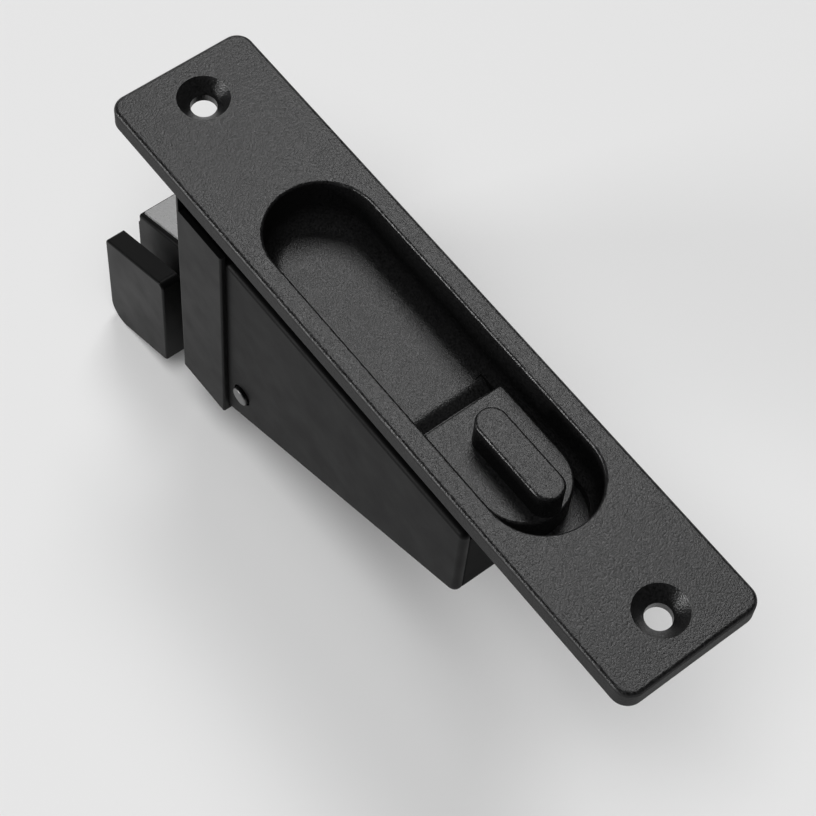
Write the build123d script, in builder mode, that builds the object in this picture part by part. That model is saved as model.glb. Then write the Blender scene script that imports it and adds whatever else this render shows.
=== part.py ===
from build123d import *
from math import atan, cos, degrees, radians, sin, tan
import os

os.makedirs("parts", exist_ok=True)

# Sliding window latch: a flush faceplate with a pull cup and a thumb slider, and a
# wedge case behind it that holds a swinging hook. Millimetres.
# Origin: middle of the faceplate's back face, halfway between its two screw holes.
# +X runs along the plate, away from the hook. +Z points out of the room side of the plate.

# Faceplate
plate_length = 160.0
plate_width = 33.0
plate_thickness = 4.5
plate_corner = 3.6
plate_edge_round = 0.9
screw_end_margin = 10.0
screw_hole_radius = 2.75
screw_sink_radius = 5.5
screw_sink_angle = 90.0

# Pull cup, cast in one with the plate
cup_left = -41.8
cup_right = 48.3
cup_width = 23.6
cup_depth = 12.5
cup_wall = 1.5
cup_floor_round = 4.5
cup_underside_round = 4.6
cup_rim_round = 0.6

# Thumb slider
slider_left = 13.9
slider_right = 41.9
slider_width = 19.2
slider_rise = 5.4
slider_edge_round = 0.5
slider_underside_round = 0.6
slider_corner = 0.8
slider_gap = 0.3
knob_left = 18.8
knob_end_inset = 0.1
knob_width = 6.7
knob_edge_round = 0.6
stem_length = 6.4
stem_width = 4.8
travel = 5.0

# Well in the cup's floor that the slider runs in, with a ramp down to it
well_left = 8.0
well_depth = 1.6
ramp_angle = 37.0
ramp_round = 3.0

# Wedge case
case_nose = -56.7
case_nose_depth = 65.8
case_end_depth = 33.0
knee_margin = 0.3
case_inner_width = 26.0
case_end_corner = 3.0
frame_wall = 2.0
frame_edge_round = 0.5
cup_case_gap = 1.9
cover_thickness = 1.7
cover_rise = 4.4
cover_top_corner = 1.5
cover_edge_round = 1.3

# Nose cap
cap_wall = 1.3
cap_length = 15.6
cap_wing_rise = 6.8
cap_front_round = 1.0
cap_rear_round = 0.5
cap_edge_round = 0.4
window_width = 16.4
window_height = 32.5
window_sill = 1.8

# Hook
pivot_setback = 19.4
pivot_height = 11.9
arm = 18.0
hub_radius = 5.6
hook_width = 14.0
catch_gap = 6.7
paddle_length = 22.5
hook_slope_angle = 22.5
paddle_rise = 0.6
paddle_height = 31.4
paddle_tip_corner = 4.5
paddle_corner = 1.4
paddle_edge_round = 0.5
keeper_slot = 4.3
web_height = 5.5
block_rise = 2.2
block_tip_corner = 0.8
block_edge_round = 0.8
neck_gap = 2.5
neck_entry = 1.0
neck_drop = 8.1
tail_width = 9.0
tail_thickness = 6.0
tail_overlap = 4.5
tail_corner = 1.5
fork_depth = 6.5

# Wear plate on the hook's sloped top
wear_inset = 1.1
wear_end_inset = 0.6
wear_end_gap = 3.0
wear_thickness = 1.2
wear_proud = 0.3

# Pins, bushes and screws
rivet_radius = 1.8
rivet_head_radius = 2.2
rivet_head_dome = 0.45
rivet_head_height = 0.9
rivet_recess_radius = 2.7
rivet_recess_depth = 0.6
bush_radius = 2.9
spacer_radius = 3.6
pin_radius = 1.75
guide_radius = 1.5
guide_socket = 1.2
guide_setbacks = (13.3, 35.3)
tie_x = 14.0
tie_boss_radius = 3.0
m3_radius = 1.45
m3_hole_radius = 1.6
m3_head_radius = 2.75
m3_head_height = 2.6
m3_key_radius = 1.25
m3_key_depth = 1.3
m3_sink_radius = 2.6
post_radius = 3.4
post_wall_gap = 0.6
front_post_setback = 5.7
rear_post_x = 4.0
case_screw_grip = 4.0
cap_screw_setback = 6.7
washer_radius = 3.3
washer_thickness = 0.6
stem_thread_depth = 6.0
stem_screw_grip = 5.0

# Slide bar and return spring
bar_width = 9.0
bar_thickness = 2.0
bar_end_margin = 0.5
bar_end_gap = 0.4
cheek_thickness = 1.6
cheek_width = 7.0
tab_setback = 14.0
tab_thickness = 1.6
tab_width = 8.0
tab_margin = 3.8
tab_corner = 2.0
spring_drop = 7.3
spring_radius = 3.0
spring_wire = 0.45
spring_turns = 6.0
spring_wire_sides = 8
guide_rod_radius = 1.5
guide_rod_gap = 3.7
guide_flange_radius = 3.6
guide_flange_thickness = 0.8
guide_spigot_depth = 1.0

# Clearances
running = 0.05
fork_gap = 0.1
side_gap = 0.3
hub_gap = 0.15
seat_gap = 0.02
pick_margin = 0.01

# Sizes worked out from the ones above
screw_spacing = plate_length - 2 * screw_end_margin
cup_length = cup_right - cup_left
cup_middle = (cup_right + cup_left) / 2
cup_floor = plate_thickness - cup_depth
well_floor = cup_floor - well_depth
well_right = slider_right + travel + side_gap
well_side = slider_width / 2 + side_gap
ramp_top = well_left + ramp_round * tan(radians(ramp_angle / 2))
ramp_foot = ramp_top + well_depth / tan(radians(ramp_angle))
cup_underside = well_floor - cup_wall
slider_bottom = well_floor + slider_gap
slider_top = cup_floor + slider_rise
stem_x = slider_left + travel + side_gap + stem_length / 2
slot_left = stem_x - stem_length / 2 - side_gap
slot_right = stem_x + stem_length / 2 + travel + side_gap
slot_width = stem_width + 2 * side_gap
bar_right = stem_x + stem_length / 2 + bar_end_margin
end_inner = bar_right + travel + bar_end_gap
case_end = end_inner + frame_wall
at_case_end = (case_end - pick_margin, case_end + pick_margin)
frame_top = cup_underside - cup_case_gap
cover_top = frame_top + cover_rise
cap_wing_top = frame_top + cap_wing_rise
hook_slope = tan(radians(hook_slope_angle))
cover_inner = case_inner_width / 2
cover_outer = cover_inner + cover_thickness
cap_outer = cover_outer + cap_wall
cap_front = case_nose - cap_wall
knee = cap_front + cap_length + knee_margin
slope = (case_nose_depth - case_end_depth) / (case_end - knee)
window_bottom = -case_nose_depth + window_sill
window_middle = window_bottom + window_height / 2
pivot_x = case_nose + pivot_setback
pivot_z = -case_nose_depth + pivot_height
hook_end = cap_front - catch_gap
hook_tip = hook_end - paddle_length
paddle_top = pivot_z + paddle_rise
neck_start = cap_front - neck_gap
neck_end = cap_front + neck_entry
neck_bottom = pivot_z - neck_drop
wear_end = cap_front - wear_end_gap
front_post_x = case_nose + front_post_setback
post_y = cover_inner - post_wall_gap - post_radius
cap_screw_x = case_nose + cap_screw_setback
cap_sink_radius = m3_sink_radius + running
half_swing = degrees(atan(travel / 2 / arm))
pin_x = pivot_x - arm * sin(radians(half_swing))
pin_z = pivot_z + arm * cos(radians(half_swing))
frame_top_inner = frame_top - frame_wall
bar_top = frame_top_inner - side_gap
bar_bottom = bar_top - bar_thickness
spring_z = bar_bottom - spring_drop
tab_x = stem_x - tab_setback
tab_bottom = spring_z - tab_margin
guide_rod_end = tab_x + tab_thickness + travel + guide_rod_gap
guide_rod_length = end_inner - guide_flange_thickness - guide_rod_end
tail_tip = arm + tail_overlap
guide_positions = [pivot_x + setback for setback in guide_setbacks]
cheek_inner = tail_thickness / 2 + side_gap
cheek_outer = cheek_inner + cheek_thickness
guide_z = bar_bottom - fork_gap - guide_radius
hook_side = hook_width / 2
paddle_outer = cap_outer
wear_side = hook_side - wear_inset
wear_rise = wear_proud / cos(radians(hook_slope_angle))
wear_drop = wear_rise - wear_thickness / cos(radians(hook_slope_angle))
wear_start = hook_tip + wear_end_inset
post_places = [(x, side * post_y) for x in (front_post_x, rear_post_x) for side in (-1, 1)]


# A drawing plane across the case at one distance along Y, looking from the hook side
def side_plane(y):
    return Plane.XZ.offset(-y)


# Height of the case's sloped floor, and of the hook's sloped edges, at one place along X
def case_bottom_at(x):
    return -case_end_depth - (case_end - x) * slope


def paddle_top_at(x):
    return paddle_top + (x - hook_tip) * hook_slope


def block_top_at(x):
    return paddle_top_at(x) + block_rise


def hook_bottom_at(x):
    return paddle_top_at(x) - paddle_height


tie_z = case_bottom_at(tie_x) + frame_wall + tie_boss_radius
wear_points = [
    (wear_start, block_top_at(wear_start) + wear_rise),
    (wear_start, block_top_at(wear_start) + wear_drop),
    (wear_end, block_top_at(wear_end) + wear_drop),
    (wear_end, block_top_at(wear_end) + wear_rise),
]


# The wedge outline that the frame and both covers share
def wedge_points(top):
    return [
        (case_nose, top),
        (case_nose, -case_nose_depth),
        (knee, -case_nose_depth),
        (case_end, -case_end_depth),
        (case_end, top),
    ]


# The space inside the pull cup, with a round all along its floor
with BuildPart() as cup_space:
    with BuildSketch(Plane.XY.offset(cup_floor)):
        with Locations((cup_middle, 0)):
            SlotOverall(cup_length, cup_width)
    extrude(amount=cup_depth)
    fillet(cup_space.faces().sort_by(Axis.Z)[0].edges(), cup_floor_round)


# A block with one straight end and one round end, for the slider's base and for its well
def make_slider_block(left, right, side, bottom, top):
    with BuildPart() as block:
        with BuildSketch(Plane.XY.offset(bottom)):
            with BuildLine():
                Polyline((right - side, side), (left, side), (left, -side), (right - side, -side))
                RadiusArc((right - side, -side), (right - side, side), -side)
            make_face()
        extrude(amount=top - bottom)
    return block


# The well, less the ramp at its straight end
with BuildPart() as slider_well:
    add(make_slider_block(well_left, well_right, well_side, well_floor, cup_floor + cup_floor_round).part)
    with BuildSketch(side_plane(well_side)) as ramp_outline:
        with BuildLine():
            Polyline(
                (well_left - ramp_round, cup_floor),
                (ramp_top, cup_floor),
                (ramp_foot, well_floor),
                (well_left - ramp_round, well_floor),
                close=True,
            )
        make_face()
        fillet(ramp_outline.vertices().group_by(Axis.X)[-2], ramp_round)
    extrude(amount=2 * well_side, mode=Mode.SUBTRACT)

# Faceplate with its pull cup, posts and slider slot
with BuildPart() as faceplate:
    with BuildSketch():
        RectangleRounded(plate_length, plate_width, plate_corner)
    extrude(amount=plate_thickness)
    fillet(faceplate.faces().sort_by(Axis.Z)[-1].edges(), plate_edge_round)
    with BuildSketch():
        with Locations((cup_middle, 0)):
            SlotOverall(cup_length + 2 * cup_wall, cup_width + 2 * cup_wall)
    extrude(amount=cup_underside)
    fillet(faceplate.faces().sort_by(Axis.Z)[0].edges(), cup_underside_round)
    with BuildSketch(Plane.XY.offset(frame_top)):
        with Locations(*post_places):
            Circle(post_radius)
    extrude(amount=-frame_top)
    add(cup_space.part, mode=Mode.SUBTRACT)
    rim_wire = faceplate.faces().filter_by(Plane.XY).sort_by(Axis.Z)[-1].inner_wires()[0]
    fillet(rim_wire.edges(), cup_rim_round)
    add(slider_well.part, mode=Mode.SUBTRACT)
    with BuildSketch(Plane.XY.offset(well_floor)):
        with Locations(((slot_left + slot_right) / 2, 0)):
            SlotOverall(slot_right - slot_left, slot_width)
    extrude(amount=-2 * cup_wall, mode=Mode.SUBTRACT)
    with Locations((-screw_spacing / 2, 0, plate_thickness), (screw_spacing / 2, 0, plate_thickness)):
        CounterSinkHole(screw_hole_radius, screw_sink_radius, counter_sink_angle=screw_sink_angle)
    with BuildSketch(Plane.XY.offset(frame_top)):
        with Locations(*post_places):
            Circle(m3_radius + running)
    extrude(amount=case_screw_grip + side_gap, mode=Mode.SUBTRACT)
faceplate.part.label = "faceplate"
export_step(faceplate.part, "parts/faceplate.step")


# Thumb slider: a flat base with one round end, an upright knob and a stem below
with BuildPart() as thumb_slider:
    add(make_slider_block(slider_left, slider_right, slider_width / 2, slider_bottom, slider_top).part)
    corners = thumb_slider.edges().filter_by(Axis.Z).group_by(Axis.X)[0]
    fillet(corners, slider_corner)
    fillet(thumb_slider.faces().sort_by(Axis.Z)[0].edges(), slider_underside_round)
    fillet(thumb_slider.faces().sort_by(Axis.Z)[-1].edges(), slider_edge_round)
    knob_right = slider_right - knob_end_inset
    with BuildSketch(Plane.XY.offset(slider_top - slider_edge_round)):
        with Locations(((knob_left + knob_right) / 2, 0)):
            SlotOverall(knob_right - knob_left, knob_width)
    extrude(amount=plate_thickness - slider_top + slider_edge_round)
    fillet(thumb_slider.faces().sort_by(Axis.Z)[-1].edges(), knob_edge_round)
    with BuildSketch(Plane.XY.offset(bar_top)):
        with Locations((stem_x, 0)):
            SlotOverall(stem_length, stem_width)
    extrude(amount=slider_bottom - bar_top)
    with BuildSketch(Plane.XY.offset(bar_top)):
        with Locations((stem_x, 0)):
            Circle(m3_radius + running)
    extrude(amount=stem_thread_depth, mode=Mode.SUBTRACT)
thumb_slider.part.label = "thumb_slider"
export_step(thumb_slider.part, "parts/thumb_slider.step")

# Slide bar under the cup: a strip with a screw hole, a forked end and a spring tab
with BuildPart() as slide_bar:
    bar_left = pin_x - cheek_width / 2
    with BuildSketch(Plane.XY.offset(bar_bottom)):
        with Locations(((bar_left + bar_right) / 2, 0)):
            Rectangle(bar_right - bar_left, bar_width)
        with Locations((pin_x, 0)):
            Rectangle(cheek_width, 2 * cheek_outer)
        with Locations((stem_x, 0)):
            Circle(m3_hole_radius, mode=Mode.SUBTRACT)
    extrude(amount=bar_thickness)
    for cheek_face in (cheek_outer, -cheek_inner):
        with BuildSketch(side_plane(cheek_face)):
            with Locations((pin_x, (bar_bottom + pin_z) / 2)):
                Rectangle(cheek_width, bar_bottom - pin_z)
            with Locations((pin_x, pin_z)):
                Circle(cheek_width / 2)
                Circle(pin_radius + seat_gap, mode=Mode.SUBTRACT)
        extrude(amount=cheek_thickness)
    with BuildSketch(Plane.XY.offset(bar_bottom)):
        with Locations((tab_x + tab_thickness / 2, 0)):
            Rectangle(tab_thickness, tab_width)
    extrude(amount=tab_bottom - bar_bottom)
    fillet(slide_bar.edges().filter_by(Axis.X).group_by(Axis.Z)[0], tab_corner)
slide_bar.part.label = "slide_bar"
export_step(slide_bar.part, "parts/slide_bar.step")

# Washer and screw that hold the slide bar to the slider's stem
with BuildPart() as slider_washer:
    with BuildSketch(Plane.XY.offset(bar_bottom)):
        with Locations((stem_x, 0)):
            Circle(washer_radius)
            Circle(m3_hole_radius, mode=Mode.SUBTRACT)
    extrude(amount=-washer_thickness)
slider_washer.part.label = "slider_washer"
export_step(slider_washer.part, "parts/slider_washer.step")


# Socket screws pointing up, with the bearing faces of their heads at z
def make_socket_screws(places, z, shank_length):
    with BuildPart() as screws:
        with BuildSketch(Plane.XY.offset(z)):
            with Locations(*places):
                Circle(m3_radius)
        extrude(amount=shank_length)
        with BuildSketch(Plane.XY.offset(z)):
            with Locations(*places):
                Circle(m3_head_radius)
        extrude(amount=-m3_head_height)
        with BuildSketch(Plane.XY.offset(z - m3_head_height)):
            with Locations(*places):
                RegularPolygon(m3_key_radius, 6)
        extrude(amount=m3_key_depth, mode=Mode.SUBTRACT)
    return screws


washer_bottom = bar_bottom - washer_thickness
slider_screw = make_socket_screws([(stem_x, 0)], washer_bottom, bar_top - washer_bottom + stem_screw_grip)
slider_screw.part.label = "slider_screw"
export_step(slider_screw.part, "parts/slider_screw.step")

# Four screws that hold the case frame up to the faceplate's posts
case_screws = make_socket_screws(post_places, frame_top_inner, frame_wall + case_screw_grip)
case_screws.part.label = "case_screws"
export_step(case_screws.part, "parts/case_screws.step")

# Case frame: the wedge's rim between the two covers, open at both sides
with BuildPart() as case_frame:
    with BuildSketch(side_plane(cover_inner)):
        with BuildLine():
            Polyline(*wedge_points(frame_top), close=True)
        make_face()
        offset(amount=-frame_wall, mode=Mode.SUBTRACT)
        with Locations((end_inner + frame_wall / 2, (frame_top + cup_underside) / 2)):
            Rectangle(frame_wall, cup_underside - frame_top)
    extrude(amount=case_inner_width)
    with BuildSketch(side_plane(cover_inner)):
        with Locations((tie_x, tie_z)):
            Circle(tie_boss_radius)
    extrude(amount=case_inner_width)
    lower_corner = case_frame.edges().filter_by(Axis.Y).filter_by_position(Axis.X, *at_case_end)
    fillet(lower_corner.sort_by(Axis.Z)[0], case_end_corner)
    for side_face in (case_frame.faces().sort_by(Axis.Y)[0], case_frame.faces().sort_by(Axis.Y)[-1]):
        fillet(side_face.outer_wire().edges(), frame_edge_round)
    with BuildSketch(side_plane(cover_inner)):
        with Locations((tie_x, tie_z)):
            Circle(guide_radius + seat_gap)
    extrude(amount=case_inner_width, mode=Mode.SUBTRACT)
    with BuildSketch(Plane.YZ.offset(case_nose)):
        with Locations((0, window_middle)):
            Rectangle(window_width, window_height)
    extrude(amount=frame_wall, mode=Mode.SUBTRACT)
    with BuildSketch(Plane.XY.offset(frame_top)):
        with Locations(((slot_left + end_inner) / 2, 0)):
            Rectangle(end_inner - slot_left, slot_width)
        with Locations(*post_places):
            Circle(m3_hole_radius)
    extrude(amount=-frame_wall, mode=Mode.SUBTRACT)
    with BuildSketch(Plane.YZ.offset(end_inner)):
        with Locations((0, spring_z)):
            Circle(guide_rod_radius + seat_gap)
    extrude(amount=guide_spigot_depth + running, mode=Mode.SUBTRACT)
    with BuildSketch(Plane.XY.offset(-case_nose_depth)):
        with Locations((cap_screw_x, 0)):
            Circle(m3_radius + running)
    extrude(amount=frame_wall, mode=Mode.SUBTRACT)
case_frame.part.label = "case_frame"
export_step(case_frame.part, "parts/case_frame.step")


# A side cover: a wedge plate with a rounded outer edge, on the -Y or the +Y side of the case
def make_side_cover(side):
    with BuildPart() as cover:
        with BuildSketch(side_plane(side * cover_inner)):
            with BuildLine():
                Polyline(*wedge_points(cover_top), close=True)
            make_face()
        extrude(amount=-side * cover_thickness)
        rear = cover.edges().filter_by(Axis.Y).filter_by_position(Axis.X, *at_case_end)
        fillet(rear.sort_by(Axis.Z)[0], case_end_corner)
        upper = cover.edges().filter_by(Axis.Y).filter_by_position(Axis.X, *at_case_end).sort_by(Axis.Z)[-1]
        fillet(upper, cover_top_corner)
        outside = cover.faces().sort_by(Axis.Y)[0 if side < 0 else -1]
        fillet(outside.edges(), cover_edge_round)
        with BuildSketch(side_plane(side * cover_outer)):
            with Locations((pivot_x, pivot_z)):
                Circle(rivet_recess_radius)
        extrude(amount=side * rivet_recess_depth, mode=Mode.SUBTRACT)
        with BuildSketch(side_plane(side * cover_inner)):
            with Locations((pivot_x, pivot_z)):
                Circle(rivet_radius + seat_gap)
        extrude(amount=-side * cover_thickness, mode=Mode.SUBTRACT)
        with BuildSketch(side_plane(side * cover_inner)):
            with Locations(*[(x, guide_z) for x in guide_positions], (tie_x, tie_z)):
                Circle(guide_radius + seat_gap)
        extrude(amount=-side * guide_socket, mode=Mode.SUBTRACT)
    return cover


near_side_cover = make_side_cover(-1)
near_side_cover.part.label = "near_side_cover"
export_step(near_side_cover.part, "parts/near_side_cover.step")
far_side_cover = make_side_cover(1)
far_side_cover.part.label = "far_side_cover"
export_step(far_side_cover.part, "parts/far_side_cover.step")

# Nose cap: a formed sleeve over the latch end, open at the top and towards +X
with BuildPart() as nose_cap:
    with BuildSketch(Plane.XY.offset(-case_nose_depth - cap_wall)):
        with Locations((cap_front + cap_length / 2, 0)):
            Rectangle(cap_length, 2 * cap_outer)
    extrude(amount=case_nose_depth + cap_wall + cap_wing_top)
    with BuildSketch(Plane.XY.offset(cap_wing_top)):
        with Locations((cap_front + cap_wall / 2, 0)):
            Rectangle(cap_wall, 2 * cap_outer)
    extrude(amount=-cap_wing_top)
    fillet(nose_cap.edges().filter_by(Axis.Z).group_by(Axis.X)[0], cap_front_round)
    fillet(nose_cap.edges().filter_by(Axis.Z).group_by(Axis.X)[-1], cap_rear_round)
    fillet(nose_cap.faces().sort_by(Axis.Z)[0].edges(), cap_edge_round)
    with BuildSketch(Plane.XY.offset(-case_nose_depth)):
        with Locations((case_nose + cap_length / 2, 0)):
            Rectangle(cap_length, 2 * cover_outer)
    extrude(amount=case_nose_depth, mode=Mode.SUBTRACT)
    with BuildSketch(Plane.YZ.offset(cap_front)):
        with Locations((0, window_middle)):
            Rectangle(window_width, window_height)
    extrude(amount=cap_wall, mode=Mode.SUBTRACT)
    with Locations(Location((cap_screw_x, 0, -case_nose_depth - cap_wall), (180, 0, 0))):
        CounterSinkHole(m3_hole_radius, cap_sink_radius, depth=cap_wall, counter_sink_angle=screw_sink_angle)
nose_cap.part.label = "nose_cap"
export_step(nose_cap.part, "parts/nose_cap.step")

# Flush screw that holds the nose cap to the frame's floor
with BuildPart() as cap_screw:
    cap_underside = -case_nose_depth - cap_wall
    with BuildSketch(Plane.XY.offset(cap_underside)):
        with Locations((cap_screw_x, 0)):
            Circle(m3_radius)
    extrude(amount=cap_wall + frame_wall)
    sink_depth = (m3_sink_radius - m3_radius) / tan(radians(screw_sink_angle / 2))
    with Locations((cap_screw_x, 0, cap_underside + sink_depth / 2)):
        Cone(m3_sink_radius, m3_radius, sink_depth)
    with BuildSketch(Plane.XY.offset(cap_underside)):
        with Locations((cap_screw_x, 0)):
            RegularPolygon(m3_key_radius, 6)
    extrude(amount=m3_key_depth, mode=Mode.SUBTRACT)
cap_screw.part.label = "cap_screw"
export_step(cap_screw.part, "parts/cap_screw.step")

# Hook casting: hub, neck and block, then the paddle joined by a web, then the forked tail
with BuildPart() as hook:
    with BuildSketch(side_plane(hook_side)) as block_outline:
        with BuildLine():
            Polyline(
                (hook_tip, block_top_at(hook_tip)),
                (hook_tip, hook_bottom_at(hook_tip)),
                (neck_start, hook_bottom_at(neck_start)),
                (neck_start, neck_bottom),
                (pivot_x, pivot_z - hub_radius),
                (pivot_x, pivot_z + hub_radius),
                (neck_end, block_top_at(neck_end)),
                close=True,
            )
        make_face()
        fillet(block_outline.vertices().group_by(Axis.X)[0].sort_by(Axis.Y)[0], paddle_tip_corner)
        fillet(block_outline.vertices().group_by(Axis.X)[0].sort_by(Axis.Y)[-1], block_tip_corner)
        with Locations((pivot_x, pivot_z)):
            Circle(hub_radius)
    extrude(amount=hook_width)
    for face in (hook.faces().sort_by(Axis.Y)[0], hook.faces().sort_by(Axis.Y)[-1]):
        fillet(face.edges().filter_by_position(Axis.X, hook_tip, neck_start - side_gap), block_edge_round)
    with BuildSketch(side_plane(0)) as paddle_outline:
        with BuildLine():
            Polyline(
                (hook_tip, paddle_top_at(hook_tip)),
                (hook_tip, hook_bottom_at(hook_tip)),
                (hook_end, hook_bottom_at(hook_end)),
                (hook_end, paddle_top_at(hook_end)),
                close=True,
            )
        make_face()
        fillet(paddle_outline.vertices().group_by(Axis.X)[0].sort_by(Axis.Y)[0], paddle_tip_corner)
        fillet(paddle_outline.vertices().group_by(Axis.X)[0].sort_by(Axis.Y)[-1], paddle_corner)
        fillet(paddle_outline.vertices().group_by(Axis.X)[-1], paddle_corner)
    extrude(amount=paddle_outer)
    fillet(hook.faces().sort_by(Axis.Y)[0].edges(), paddle_edge_round)
    with BuildSketch(side_plane(-hook_side)):
        with BuildLine():
            Polyline(
                (hook_tip, hook_bottom_at(hook_tip) + web_height),
                (hook_end, hook_bottom_at(hook_end) + web_height),
                (hook_end, block_top_at(hook_end)),
                (hook_tip, block_top_at(hook_end)),
                close=True,
            )
        make_face()
    extrude(amount=keeper_slot, mode=Mode.SUBTRACT)
    tail_plane = Plane(
        origin=(pivot_x, tail_thickness / 2, pivot_z),
        x_dir=(cos(radians(half_swing)), 0, sin(radians(half_swing))),
        z_dir=(0, -1, 0),
    )
    with BuildSketch(tail_plane) as tail_outline:
        with Locations((0, tail_tip / 2)):
            Rectangle(tail_width, tail_tip)
        fillet(tail_outline.vertices().group_by(Axis.Y)[-1], tail_corner)
    extrude(amount=tail_thickness)
    with BuildSketch(tail_plane):
        with Locations((0, tail_tip - fork_depth / 2)):
            Rectangle(2 * (pin_radius + fork_gap), fork_depth)
        with Locations((0, tail_tip - fork_depth)):
            Circle(pin_radius + fork_gap)
    extrude(amount=tail_thickness, mode=Mode.SUBTRACT)
    with BuildSketch(side_plane(hook_side)):
        with Locations((pivot_x, pivot_z)):
            Circle(bush_radius + seat_gap)
    extrude(amount=hook_width, mode=Mode.SUBTRACT)
    with BuildSketch(side_plane(wear_side)):
        with BuildLine():
            Polyline(*wear_points, close=True)
        make_face()
    extrude(amount=2 * wear_side, mode=Mode.SUBTRACT)
hook.part.label = "hook"
export_step(hook.part, "parts/hook.step")

# Steel plate let into the hook's sloped top, where the keeper rides
with BuildPart() as hook_wear_plate:
    with BuildSketch(side_plane(wear_side)):
        with BuildLine():
            Polyline(*wear_points, close=True)
        make_face()
    extrude(amount=2 * wear_side)
hook_wear_plate.part.label = "hook_wear_plate"
export_step(hook_wear_plate.part, "parts/hook_wear_plate.step")


# A ring or pin across the case, from one distance along Y to another
def make_cross_pin(x, z, outer_radius, start, end, bore_radius=0.0):
    with BuildPart() as pin:
        with BuildSketch(side_plane(end)):
            with Locations((x, z)):
                Circle(outer_radius)
                if bore_radius:
                    Circle(bore_radius, mode=Mode.SUBTRACT)
        extrude(amount=end - start)
    return pin


# Bush in the hook's hub
hook_bush = make_cross_pin(pivot_x, pivot_z, bush_radius, -hook_side, hook_side, rivet_radius + running)
hook_bush.part.label = "hook_bush"
export_step(hook_bush.part, "parts/hook_bush.step")

# Spacers on the rivet that keep the hook in the middle of the case
spacer_inner = hook_side + hub_gap
spacer_bore = rivet_radius + seat_gap
hook_spacer_near = make_cross_pin(pivot_x, pivot_z, spacer_radius, -cover_inner, -spacer_inner, spacer_bore)
hook_spacer_near.part.label = "hook_spacer_near"
export_step(hook_spacer_near.part, "parts/hook_spacer_near.step")
hook_spacer_far = make_cross_pin(pivot_x, pivot_z, spacer_radius, spacer_inner, cover_inner, spacer_bore)
hook_spacer_far.part.label = "hook_spacer_far"
export_step(hook_spacer_far.part, "parts/hook_spacer_far.step")

# Pivot rivet with a domed head in each cover's recess
with BuildPart() as pivot_rivet:
    head_seat = cover_outer - rivet_recess_depth
    head_top = head_seat + rivet_head_height
    with BuildSketch(Plane((pivot_x, 0, pivot_z), x_dir=(1, 0, 0), z_dir=(0, 0, 1))):
        with BuildLine():
            Polyline((0, 0), (0, head_top))
            TangentArc((0, head_top), (rivet_head_radius, head_top - rivet_head_dome), tangent=(1, 0))
            Polyline(
                (rivet_head_radius, head_top - rivet_head_dome),
                (rivet_head_radius, head_seat),
                (rivet_radius, head_seat),
                (rivet_radius, 0),
                (0, 0),
            )
        make_face()
    revolve(axis=Axis((pivot_x, 0, pivot_z), (0, 1, 0)))
    mirror(about=Plane.XZ)
pivot_rivet.part.label = "pivot_rivet"
export_step(pivot_rivet.part, "parts/pivot_rivet.step")

# Drive pin through the slide bar's cheeks and the hook's fork
drive_pin = make_cross_pin(pin_x, pin_z, pin_radius, -cheek_outer, cheek_outer)
drive_pin.part.label = "drive_pin"
export_step(drive_pin.part, "parts/drive_pin.step")

# Two pins that carry the slide bar from below, and the tie pin, with their ends in the covers
cross_pin_end = cover_inner + guide_socket - running
with BuildPart() as guide_pins:
    with BuildSketch(side_plane(cross_pin_end)):
        with Locations(*[(x, guide_z) for x in guide_positions]):
            Circle(guide_radius)
    extrude(amount=2 * cross_pin_end)
guide_pins.part.label = "guide_pins"
export_step(guide_pins.part, "parts/guide_pins.step")
tie_pin = make_cross_pin(tie_x, tie_z, guide_radius, -cross_pin_end, cross_pin_end)
tie_pin.part.label = "tie_pin"
export_step(tie_pin.part, "parts/tie_pin.step")

# Spring guide: a flange on the frame's end wall with a rod inside the spring
with BuildPart() as spring_guide:
    for inner, length, radius in (
        (end_inner + guide_spigot_depth, guide_spigot_depth, guide_rod_radius),
        (end_inner, guide_flange_thickness, guide_flange_radius),
        (end_inner - guide_flange_thickness, guide_rod_length, guide_rod_radius),
    ):
        with BuildSketch(Plane.YZ.offset(inner)):
            with Locations((0, spring_z)):
                Circle(radius)
        extrude(amount=-length)
spring_guide.part.label = "spring_guide"
export_step(spring_guide.part, "parts/spring_guide.step")

# Return spring between the slide bar's tab and the spring guide's flange
with BuildPart() as return_spring:
    spring_left = tab_x + tab_thickness + spring_wire
    spring_right = end_inner - guide_flange_thickness - spring_wire
    with BuildLine() as coil:
        Helix(
            pitch=(spring_right - spring_left) / spring_turns,
            height=spring_right - spring_left,
            radius=spring_radius,
            center=(spring_left, 0, spring_z),
            direction=(1, 0, 0),
        )
    with BuildSketch(Plane(coil.line @ 0, z_dir=coil.line % 0)):
        RegularPolygon(spring_wire, spring_wire_sides)
    sweep(is_frenet=True)
return_spring.part.label = "return_spring"
export_step(return_spring.part, "parts/return_spring.step")
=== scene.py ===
# %% [markdown]
# # A sliding window latch in a small studio
# The latch is a flush faceplate with a pull cup and a thumb slider, and a wedge case behind
# it with a swinging hook. The engineering model holds every solid already, so this lesson
# gives each one its finish, adds the pieces that need finer modelling, and lights the whole.
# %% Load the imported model
import math

import bmesh
import bpy
from mathutils import Matrix, Vector


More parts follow.
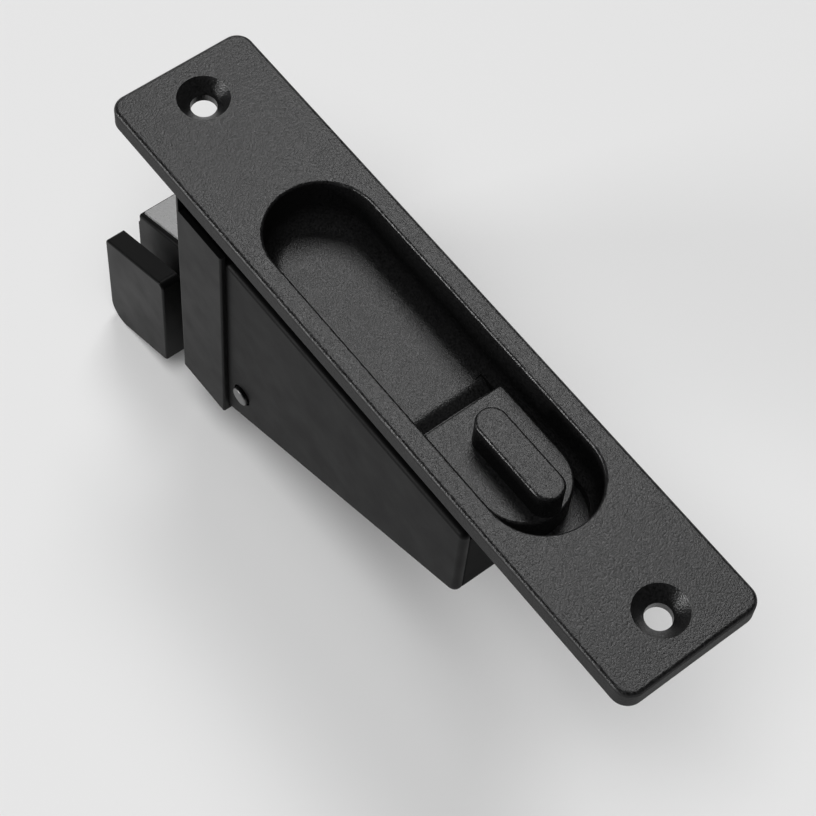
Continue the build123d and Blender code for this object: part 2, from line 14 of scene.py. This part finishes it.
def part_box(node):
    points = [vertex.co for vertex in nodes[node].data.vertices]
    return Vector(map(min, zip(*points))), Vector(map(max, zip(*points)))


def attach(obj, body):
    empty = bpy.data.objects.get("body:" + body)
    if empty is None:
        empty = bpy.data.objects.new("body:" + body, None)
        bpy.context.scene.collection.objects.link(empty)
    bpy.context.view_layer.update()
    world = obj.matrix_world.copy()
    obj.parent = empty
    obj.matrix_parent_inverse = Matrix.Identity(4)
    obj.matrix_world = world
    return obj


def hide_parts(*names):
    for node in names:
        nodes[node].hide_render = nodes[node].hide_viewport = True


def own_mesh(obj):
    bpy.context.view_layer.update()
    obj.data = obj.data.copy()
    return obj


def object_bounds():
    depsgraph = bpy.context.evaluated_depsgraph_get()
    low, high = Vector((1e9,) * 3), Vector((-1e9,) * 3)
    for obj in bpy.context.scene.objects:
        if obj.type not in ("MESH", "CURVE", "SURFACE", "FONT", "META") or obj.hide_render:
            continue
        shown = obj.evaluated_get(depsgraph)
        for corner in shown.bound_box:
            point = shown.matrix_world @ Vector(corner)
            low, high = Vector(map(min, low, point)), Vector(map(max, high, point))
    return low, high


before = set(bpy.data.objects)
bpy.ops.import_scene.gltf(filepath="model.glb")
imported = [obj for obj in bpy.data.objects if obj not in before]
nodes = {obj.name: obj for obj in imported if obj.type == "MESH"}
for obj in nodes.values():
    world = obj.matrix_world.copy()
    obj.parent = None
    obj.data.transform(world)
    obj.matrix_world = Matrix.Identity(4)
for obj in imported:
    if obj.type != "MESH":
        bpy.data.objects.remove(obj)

cad_low, cad_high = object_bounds()

# %% [markdown]
# ## The camera
# A product picture of a long thin thing is taken from far away with a long lens, so that
# its edges stay nearly parallel. The camera stands high over one long side, aims near the
# middle of the faceplate, and leans a little, which lays the plate across the picture.
# %% Place the camera
camera_place = Vector((0.16542, -0.15829, 0.37755))
aim_point = Vector((0.01071, -0.01069, 0.0045))
camera_lean = math.radians(6.488)
sensor_width = 36.0
focal_length = 101.98
frame_shift = -0.00184
nearest_seen = 0.01
farthest_seen = 20.0

camera_data = bpy.data.cameras.new("camera")
camera_data.sensor_width = sensor_width
camera_data.lens = focal_length
camera_data.shift_x = frame_shift
camera_data.clip_start = nearest_seen
camera_data.clip_end = farthest_seen
camera = bpy.data.objects.new("camera", camera_data)
bpy.context.scene.collection.objects.link(camera)
level_turn = (aim_point - camera_place).to_track_quat("-Z", "Y").to_matrix()
camera_turn = level_turn @ Matrix.Rotation(camera_lean, 3, "Z")
camera.matrix_world = Matrix.Translation(camera_place) @ camera_turn.to_4x4()
bpy.context.scene.camera = camera
bpy.context.scene.view_settings.view_transform = "Standard"

# %% [markdown]
# ## The floor
# The latch lies on a pale grey sheet. One large plane is enough, just below the lowest
# point, because nothing behind the latch rises into the picture. A rough paint keeps it
# free of reflections, and its grey is the background's tone.
# %% Lay the floor
floor_gap = 0.0002
floor_reach = 8.0
floor_height = cad_low.z - floor_gap


def link_mesh(name, mesh_data):
    """A new object at the origin that shows this mesh."""
    made = bpy.data.objects.new(name, mesh_data)
    bpy.context.scene.collection.objects.link(made)
    return made


floor_mesh = bpy.data.meshes.new("floor")
build = bmesh.new()
bmesh.ops.create_grid(build, x_segments=1, y_segments=1, size=floor_reach)
bmesh.ops.translate(build, verts=build.verts, vec=(0, 0, floor_height))
build.to_mesh(floor_mesh)
build.free()
floor = link_mesh("floor", floor_mesh)

floor_grey = (0.79, 0.79, 0.79, 1.0)
floor_roughness = 0.9
floor_shine = 0.0
floor_paint = bpy.data.materials.new("floor_paint")
floor_paint.use_nodes = True
floor_shader = floor_paint.node_tree.nodes["Principled BSDF"]
floor_shader.inputs["Base Color"].default_value = floor_grey
floor_shader.inputs["Roughness"].default_value = floor_roughness
floor_shader.inputs["Specular IOR Level"].default_value = floor_shine
floor.data.materials.append(floor_paint)

# %% [markdown]
# ## The light
# Black paint shows little but what it reflects. One soft panel stands where the faceplate
# mirrors it into the lens, a weak one does the same for the hook's slope, and a small one
# close to the floor picks out the rounded near edges. The key panel hangs high in front,
# lights the floor and throws the soft shadow. It is hidden from glossy rays, and the room
# is nearly dark, so that the pocket's walls stay black. Each row gives a panel's name, its
# direction, its side in metres, its power in watts, and if gloss shows it.
# %% Hang the panels
room_colour = (1.0, 1.0, 1.0, 1.0)
room_light = 0.01
panel_distance = 4.0
panels = (
    ("key_panel", (0.155, -0.27, 0.95), 2.4, 120.0, False),
    ("sheen_panel", (-0.37, 0.35, 0.86), 1.4, 48.0, True),
    ("side_panel", (-0.87, 0.33, 0.36), 1.4, 8.0, True),
    ("edge_panel", (-0.43, -0.89, 0.16), 1.0, 90.0, True),
)
for panel_name, direction, side, power, in_gloss in panels:
    panel_data = bpy.data.lights.new(panel_name, "AREA")
    panel_data.shape = "SQUARE"
    panel_data.size = side
    panel_data.energy = power
    panel = bpy.data.objects.new(panel_name, panel_data)
    bpy.context.scene.collection.objects.link(panel)
    panel_place = aim_point + panel_distance * Vector(direction).normalized()
    panel_turn = (aim_point - panel_place).to_track_quat("-Z", "Y").to_matrix().to_4x4()
    panel.matrix_world = Matrix.Translation(panel_place) @ panel_turn
    panel.visible_glossy = in_gloss
    print(panel_name, "at", [round(part, 2) for part in panel_place])

room = bpy.data.worlds.new("room")
room.use_nodes = True
bpy.context.scene.world = room
room_shader = room.node_tree.nodes["Background"]
room_shader.inputs["Color"].default_value = room_colour
room_shader.inputs["Strength"].default_value = room_light

# %% [markdown]
# ## Helpers for finishes
# Each finish is a Principled shader with patterns on its roughness and its bump. The
# patterns read Object coordinates, in metres, so a grain of a third of a millimetre is a
# noise scale of about three thousand, and the same grain runs over every piece. Most of a
# noise lies between 0.3 and 0.7, so that span is the one spread over tones.
# %% Define the finish helpers
noise_low = 0.3
noise_high = 0.7


def start_finish(name, colour, metal, rough, shine=0.5):
    """A material with a Principled shader, its coordinates, and its node tree."""
    finish = bpy.data.materials.new(name)
    finish.use_nodes = True
    tree = finish.node_tree
    shader = tree.nodes["Principled BSDF"]
    shader.inputs["Base Color"].default_value = (*colour, 1.0)
    shader.inputs["Metallic"].default_value = metal
    shader.inputs["Roughness"].default_value = rough
    shader.inputs["Specular IOR Level"].default_value = shine
    place = tree.nodes.new("ShaderNodeTexCoord")
    return finish, tree, shader, place


def add_noise(tree, place, scale, detail=2.0, stretch=(1.0, 1.0, 1.0)):
    """A noise on Object coordinates, with its grain drawn out along an axis if wanted."""
    mapping = tree.nodes.new("ShaderNodeMapping")
    mapping.inputs["Scale"].default_value = stretch
    tree.links.new(place.outputs["Object"], mapping.inputs["Vector"])
    noise = tree.nodes.new("ShaderNodeTexNoise")
    noise.inputs["Scale"].default_value = scale
    noise.inputs["Detail"].default_value = detail
    tree.links.new(mapping.outputs["Vector"], noise.inputs["Vector"])
    return noise


def spread(tree, source, low, high, from_low=noise_low, from_high=noise_high):
    """A Map Range that turns a noise, or another value, into values from low to high."""
    ranged = tree.nodes.new("ShaderNodeMapRange")
    ranged.inputs["From Min"].default_value = from_low
    ranged.inputs["From Max"].default_value = from_high
    ranged.inputs["To Min"].default_value = low
    ranged.inputs["To Max"].default_value = high
    tree.links.new(source, ranged.inputs["Value"])
    return ranged.outputs["Result"]


def tint(tree, source, dark, light):
    """A colour that wanders between two tones with a noise."""
    ramp = tree.nodes.new("ShaderNodeValToRGB")
    ramp.color_ramp.elements[0].position = noise_low
    ramp.color_ramp.elements[0].color = (*dark, 1.0)
    ramp.color_ramp.elements[1].position = noise_high
    ramp.color_ramp.elements[1].color = (*light, 1.0)
    tree.links.new(source, ramp.inputs["Fac"])
    return ramp.outputs["Color"]


def add_bump(tree, height, depth):
    """A Bump node whose pattern stands up by depth, in metres."""
    bump = tree.nodes.new("ShaderNodeBump")
    bump.inputs["Strength"].default_value = 1.0
    bump.inputs["Distance"].default_value = depth
    tree.links.new(height, bump.inputs["Height"])
    return bump.outputs["Normal"]


def join(tree, operation, *values):
    """A Math node on one value or two."""
    joined = tree.nodes.new("ShaderNodeMath")
    joined.operation = operation
    for index, value in enumerate(values):
        tree.links.new(value, joined.inputs[index])
    return joined.outputs["Value"]


# %% [markdown]
# ## The faceplate's coat
# The plate, its cup and the thumb slider have a baked powder coat: near black, dull, with
# a fine sandy grain. The grain comes from one noise that moves the tone, the roughness and
# a bump together, so that no face is one flat colour. Below its rounded edge the plate's
# rim is duller than its face, and a mask on the coordinates finds that rim.
# %% Mix the powder coat
coat_dark = (0.001, 0.001, 0.001)
coat_light = (0.014, 0.014, 0.0143)
coat_roughness = (0.29, 0.41)
grain_scale = 3000.0
grain_detail = 2.0
grain_depth = 0.0001
face_shine = 0.58
rim_shine = 0.30
rim_dulls = 0.3
rim_levels = (0.0043, 0.0039)
rim_sides = (("X", 0.0772, 0.0774), ("Y", 0.0130, 0.0132))

plate_finish, tree, shader, place = start_finish(
    "powder_coat", coat_dark, 0.0, sum(coat_roughness) / 2, face_shine
)
grain = add_noise(tree, place, grain_scale, grain_detail).outputs["Fac"]
tree.links.new(tint(tree, grain, coat_dark, coat_light), shader.inputs["Base Color"])
tree.links.new(add_bump(tree, grain, grain_depth), shader.inputs["Normal"])

split = tree.nodes.new("ShaderNodeSeparateXYZ")
tree.links.new(place.outputs["Object"], split.inputs["Vector"])
below = spread(tree, split.outputs["Z"], 0.0, 1.0, *rim_levels)
outside = [
    spread(tree, join(tree, "ABSOLUTE", split.outputs[axis]), 0.0, 1.0, near, far)
    for axis, near, far in rim_sides
]
rim = join(tree, "MULTIPLY", below, join(tree, "MAXIMUM", *outside))
rim_roughness = spread(tree, rim, 0.0, rim_dulls, 0.0, 1.0)
roughness = join(tree, "ADD", spread(tree, grain, *coat_roughness), rim_roughness)
tree.links.new(roughness, shader.inputs["Roughness"])
shine = spread(tree, rim, face_shine, rim_shine, 0.0, 1.0)
tree.links.new(shine, shader.inputs["Specular IOR Level"])
print("powder coat nodes:", len(tree.nodes))

# %% [markdown]
# ## The case's coat
# The wedge case is sheet and castings under a smoother satin coat. Only a faint orange
# peel is left in it, a shallow wave a millimetre or two long.
# %% Mix the satin coats
peel_scale = 900.0
cloud_scale = 160.0
peel_depth = 0.000006
satin_shares = (0.8, 1.2)
satin_cool = 0.02
satin_swing = (-0.03, 0.04)

satin_finishes = {}
for name, tone, rough, shine in (
    ("case_satin", 0.003, 0.48, 0.08),
    ("collar_satin", 0.003, 0.47, 0.11),
    ("frame_satin", 0.005, 0.7, 0.05),
    ("hook_satin", 0.003, 0.42, 0.10),
    ("black_oxide", 0.005, 0.38, 0.30),
):
    dark, light = (
        (share * tone, share * tone, (share + satin_cool) * tone) for share in satin_shares
    )
    satin, tree, shader, place = start_finish(name, dark, 0.0, rough, shine)
    peel = add_noise(tree, place, peel_scale).outputs["Fac"]
    cloud = add_noise(tree, place, cloud_scale).outputs["Fac"]
    roughness = spread(tree, cloud, *(rough + swing for swing in satin_swing))
    tree.links.new(tint(tree, cloud, dark, light), shader.inputs["Base Color"])
    tree.links.new(roughness, shader.inputs["Roughness"])
    tree.links.new(add_bump(tree, peel, peel_depth), shader.inputs["Normal"])
    satin_finishes[name] = satin
print("satin finishes:", ", ".join(satin_finishes))

# %% [markdown]
# ## Bare metals
# The wear plate, pins, bush and spring are bare. Their grain is drawn out along one axis
# by the mapping, as rolling, turning or drawing leaves it.
# %% Mix the metals
streak_scale = 2400.0
streak_detail = 3.0
streak_depth = 0.000004
metal_shares = (0.85, 1.12)
metal_swing = (-0.08, 0.1)

metals = {}
for name, tone, rough, stretch in (
    ("satin_steel", (0.50, 0.50, 0.50), 0.34, (0.2, 1.0, 1.0)),
    ("zinc_plate", (0.55, 0.55, 0.54), 0.36, (1.0, 0.08, 1.0)),
    ("drawn_wire", (0.36, 0.36, 0.36), 0.3, (1.0, 1.0, 1.0)),
    ("sintered_bronze", (0.46, 0.29, 0.13), 0.42, (1.0, 0.1, 1.0)),
    ("rivet_steel", (0.17, 0.17, 0.17), 0.38, (1.0, 0.2, 1.0)),
):
    metal, tree, shader, place = start_finish(name, tone, 1.0, rough)
    streak = add_noise(tree, place, streak_scale, streak_detail, stretch).outputs["Fac"]
    dark, light = (tuple(share * part for part in tone) for share in metal_shares)
    roughness = spread(tree, streak, *(rough + swing for swing in metal_swing))
    tree.links.new(tint(tree, streak, dark, light), shader.inputs["Base Color"])
    tree.links.new(roughness, shader.inputs["Roughness"])
    tree.links.new(add_bump(tree, streak, streak_depth), shader.inputs["Normal"])
    metals[name] = metal
print("metals:", ", ".join(metals))

# %% [markdown]
# ## Dressing the solids
# Every solid from the engineering model takes its finish in its material slots. The mesh
# itself stays as it is.
# %% Give each solid its finish
finish_of = {
    "faceplate": plate_finish,
    "thumb_slider": plate_finish,
    "near_side_cover": satin_finishes["case_satin"],
    "far_side_cover": satin_finishes["case_satin"],
    "case_frame": satin_finishes["frame_satin"],
    "nose_cap": satin_finishes["collar_satin"],
    "hook": satin_finishes["hook_satin"],
    "cap_screw": satin_finishes["black_oxide"],
    "case_screws": satin_finishes["black_oxide"],
    "slider_screw": satin_finishes["black_oxide"],
    "pivot_rivet": metals["rivet_steel"],
    "hook_wear_plate": metals["satin_steel"],
    "slide_bar": metals["zinc_plate"],
    "slider_washer": metals["zinc_plate"],
    "guide_pins": metals["satin_steel"],
    "tie_pin": metals["satin_steel"],
    "drive_pin": metals["satin_steel"],
    "spring_guide": metals["zinc_plate"],
    "hook_spacer_near": metals["zinc_plate"],
    "hook_spacer_far": metals["zinc_plate"],
    "hook_bush": metals["sintered_bronze"],
    "return_spring": metals["drawn_wire"],
}
for name, finish in finish_of.items():
    slots = nodes[name].data.materials
    for index in range(len(slots)):
        slots[index] = finish
print("dressed:", len(finish_of), "of", len(nodes))

# %% [markdown]
# ## The hook's wear plate
# A hard steel plate is let into the hook's slope, where the keeper rides. Its corners are
# rounded and its top edge is broken by a small bevel, which catches the light as a bright
# line. It starts as a box, and a shear leans it along the slope, so it fills its pocket.
# %% Grind the wear plate
hook_slope = math.tan(math.radians(22.5))
wear_corner = 0.0006
corner_steps = 5
wear_bevel = 0.0002
bevel_steps = 3
wear_low, wear_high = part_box("hook_wear_plate")
wear_length, wear_width, wear_height = wear_high - wear_low
wear_thickness = wear_height - wear_length * hook_slope


def bevel(build, edges, offset, steps):
    """Round these edges to this radius, in so many steps."""
    bmesh.ops.bevel(
        build,
        geom=edges,
        offset=offset,
        segments=steps,
        profile=0.5,
        affect="EDGES",
        material=-1,
    )


build = bmesh.new()
bmesh.ops.create_cube(build, size=1.0)
bmesh.ops.scale(build, verts=build.verts, vec=(wear_length, wear_width, wear_thickness))
upright = [edge for edge in build.edges if edge.verts[0].co.xy == edge.verts[1].co.xy]
bevel(build, upright, wear_corner, corner_steps)
top = [edge for edge in build.edges if min(end.co.z for end in edge.verts) > 0]
bevel(build, top, wear_bevel, bevel_steps)
lean = Matrix.Identity(4)
lean[2][0] = hook_slope
seat = Matrix.Translation((wear_low + wear_high) / 2)
bmesh.ops.transform(build, matrix=seat @ lean, verts=build.verts)
wear_mesh = bpy.data.meshes.new("ground_wear_plate")
build.to_mesh(wear_mesh)
print("wear plate faces:", len(build.faces))
build.free()
wear_plate = link_mesh("ground_wear_plate", wear_mesh)
wear_mesh.materials.append(metals["satin_steel"])
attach(wear_plate, "hook")
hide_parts("hook_wear_plate")

# %% [markdown]
# ## The pivot rivet
# The hook swings on a rivet whose heads stand a millimetre proud of the covers, each in a
# shallow dark recess. A head is turned, so half the rivet's outline is spun once round the
# rivet's axis, its sharp rims are bevelled, and the half is mirrored to the far side.
# %% Turn the rivet
rivet_reach = 0.0157
rivet_dome = 0.00012
rivet_rim = 0.0003
rim_steps = 4
rivet_steps = 48
crown_share = 0.6
recess_floor = 0.0141
same_place = 0.000001
shank_radius = 0.0018
rivet_low, rivet_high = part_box("pivot_rivet")
rivet_middle = (rivet_low + rivet_high) / 2
head_radius = (rivet_high.x - rivet_low.x) / 2

build = bmesh.new()
outline = [
    build.verts.new(rivet_middle + Vector((radius, -reach, 0)))
    for radius, reach in (
        (0.0, rivet_reach),
        (crown_share * head_radius, rivet_reach - rivet_dome / 3),
        (head_radius, rivet_reach - rivet_dome),
        (head_radius, recess_floor),
        (shank_radius, recess_floor),
        (shank_radius, 0.0),
    )
]
outline_edges = [build.edges.new(pair) for pair in zip(outline, outline[1:])]
bmesh.ops.spin(
    build,
    geom=outline_edges,
    cent=rivet_middle,
    axis=(0, 1, 0),
    angle=2 * math.pi,
    steps=rivet_steps,
    use_merge=True,
)
bmesh.ops.remove_doubles(build, verts=build.verts, dist=same_place)
rim_height = rivet_middle.y - rivet_reach + rivet_dome
rim = [
    edge
    for edge in build.edges
    if all(abs(end.co.y - rim_height) < same_place for end in edge.verts)
]
bevel(build, rim, rivet_rim, rim_steps)
half = build.verts[:] + build.edges[:] + build.faces[:]
bmesh.ops.mirror(build, geom=half, axis="Y", merge_dist=same_place)
bmesh.ops.recalc_face_normals(build, faces=build.faces)
rivet_mesh = bpy.data.meshes.new("turned_rivet")
build.to_mesh(rivet_mesh)
open_edges = sum(not edge.is_manifold for edge in build.edges)
print("rivet faces:", len(build.faces), "open edges:", open_edges)
build.free()
rivet_mesh.shade_smooth()
rivet = link_mesh("turned_rivet", rivet_mesh)
rivet_mesh.materials.append(metals["rivet_steel"])
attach(rivet, "case")
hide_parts("pivot_rivet")

# %% [markdown]
# ## The return spring
# A compression spring is a round wire wound into a helix, with its first and last turns
# lying close so that both ends stand square. A spin with a step along its axis winds it:
# three runs of the same profile, tight, open and tight again, and the ends are capped.
# %% Wind the spring
wire_radius = 0.00045
wire_sides = 16
steps_per_turn = 40
closed_turns = 1.25
open_turns = 5.0
wire_widths_apart = 1.05
closed_pitch = wire_widths_apart * 2 * wire_radius

coil_low, coil_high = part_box("return_spring")
coil_axis = (coil_low + coil_high) / 2
coil_radius = (coil_high.z - coil_low.z) / 2 - wire_radius
coil_start = coil_low.x + wire_radius
coil_length = coil_high.x - coil_low.x - 2 * wire_radius
open_length = coil_length - 2 * closed_turns * closed_pitch

build = bmesh.new()
profile = bmesh.ops.create_circle(build, segments=wire_sides, radius=wire_radius, cap_ends=False)
wire_start = Matrix.Translation((coil_start, coil_axis.y, coil_axis.z + coil_radius))
wire_turn = Matrix.Rotation(math.radians(90), 4, "X")
bmesh.ops.transform(build, matrix=wire_start @ wire_turn, verts=profile["verts"])
ring = list(build.edges)
first_ring = list(ring)
for turns, length in (
    (closed_turns, closed_turns * closed_pitch),
    (open_turns, open_length),
    (closed_turns, closed_turns * closed_pitch),
):
    steps = round(turns * steps_per_turn)
    wound = bmesh.ops.spin(
        build,
        geom=ring,
        cent=coil_axis,
        axis=(1, 0, 0),
        dvec=(length / steps, 0, 0),
        angle=turns * 2 * math.pi,
        steps=steps,
    )
    ring = [part for part in wound["geom_last"] if isinstance(part, bmesh.types.BMEdge)]
bmesh.ops.contextual_create(build, geom=first_ring)
bmesh.ops.contextual_create(build, geom=ring)
bmesh.ops.recalc_face_normals(build, faces=build.faces)
spring_mesh = bpy.data.meshes.new("round_wire_spring")
build.to_mesh(spring_mesh)
build.free()
spring_mesh.shade_smooth()
spring = link_mesh("round_wire_spring", spring_mesh)
spring_mesh.materials.append(metals["drawn_wire"])
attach(spring, "case")
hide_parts("return_spring")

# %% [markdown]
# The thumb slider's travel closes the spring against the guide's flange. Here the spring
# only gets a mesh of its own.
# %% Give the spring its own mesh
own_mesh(spring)
